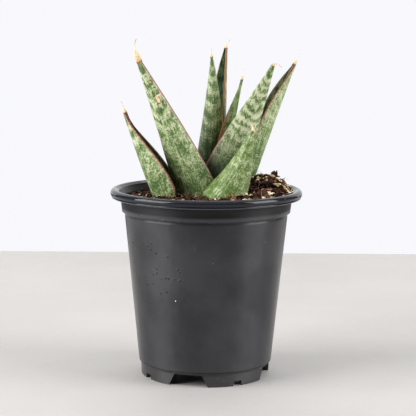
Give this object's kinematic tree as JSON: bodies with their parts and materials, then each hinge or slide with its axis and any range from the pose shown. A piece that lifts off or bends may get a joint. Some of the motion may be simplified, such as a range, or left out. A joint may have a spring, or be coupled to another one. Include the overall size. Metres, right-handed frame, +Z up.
{
  "type": "potted snake plant",
  "caption": "Young snake plant rosette of stiff, channelled, banded leaves growing in potting mix in a tapered black nursery pot with a rolled rim and a notched foot.",
  "frame": {"origin": "centre of the pot's foot, on the surface that it stands on", "axes": "+Z up along the pot's axis; -Y is the plant's front, with the short front leaf; +X is to the right of someone facing that front"},
  "size_m": [0.108, 0.108, 0.1891],
  "materials": {
    "pot_plastic": "satin charcoal moulded polypropylene, glossier on the rolled rim, with dust, scuffs and dried water marks",
    "leaf": "waxy satin leaf, dark and pale green cross bands and mottling, red-brown margins, cream dried tip",
    "potting_mix": "coarse, damp, dark brown peat and composted bark",
    "bark": "rough red-brown composted bark chips",
    "perlite": "rough, chalky, cream to yellow-stained expanded perlite",
    "rhizome": "matt orange-brown scaly stem, hidden in the mix"
  },
  "bodies": {
    "root": {"nursery_pot": "pot_plastic", "potting_mix": "potting_mix", "rhizome": "rhizome", "leaf_left_short": "leaf", "leaf_left_tall": "leaf", "leaf_centre": "leaf", "leaf_rear": "leaf", "leaf_inner": "leaf", "leaf_right_broad": "leaf", "leaf_right_outer": "leaf", "leaf_front": "leaf", "bark_chip_01": "bark", "bark_chip_02": "bark", "bark_chip_03": "bark", "bark_chip_04": "bark", "bark_chip_05": "bark", "bark_chip_06": "bark", "bark_chip_07": "bark", "bark_chip_08": "bark", "bark_chip_09": "bark", "bark_chip_10": "bark", "bark_chip_11": "bark", "bark_chip_12": "bark", "bark_chip_upright": "bark", "perlite_grain_01": "perlite", "perlite_grain_02": "perlite", "perlite_grain_03": "perlite", "perlite_grain_04": "perlite", "perlite_grain_05": "perlite", "perlite_grain_06": "perlite", "perlite_grain_07": "perlite", "perlite_grain_08": "perlite", "perlite_grain_09": "perlite", "perlite_grain_10": "perlite", "perlite_grain_11": "perlite", "perlite_grain_12": "perlite"}
  },
  "joints": []
}
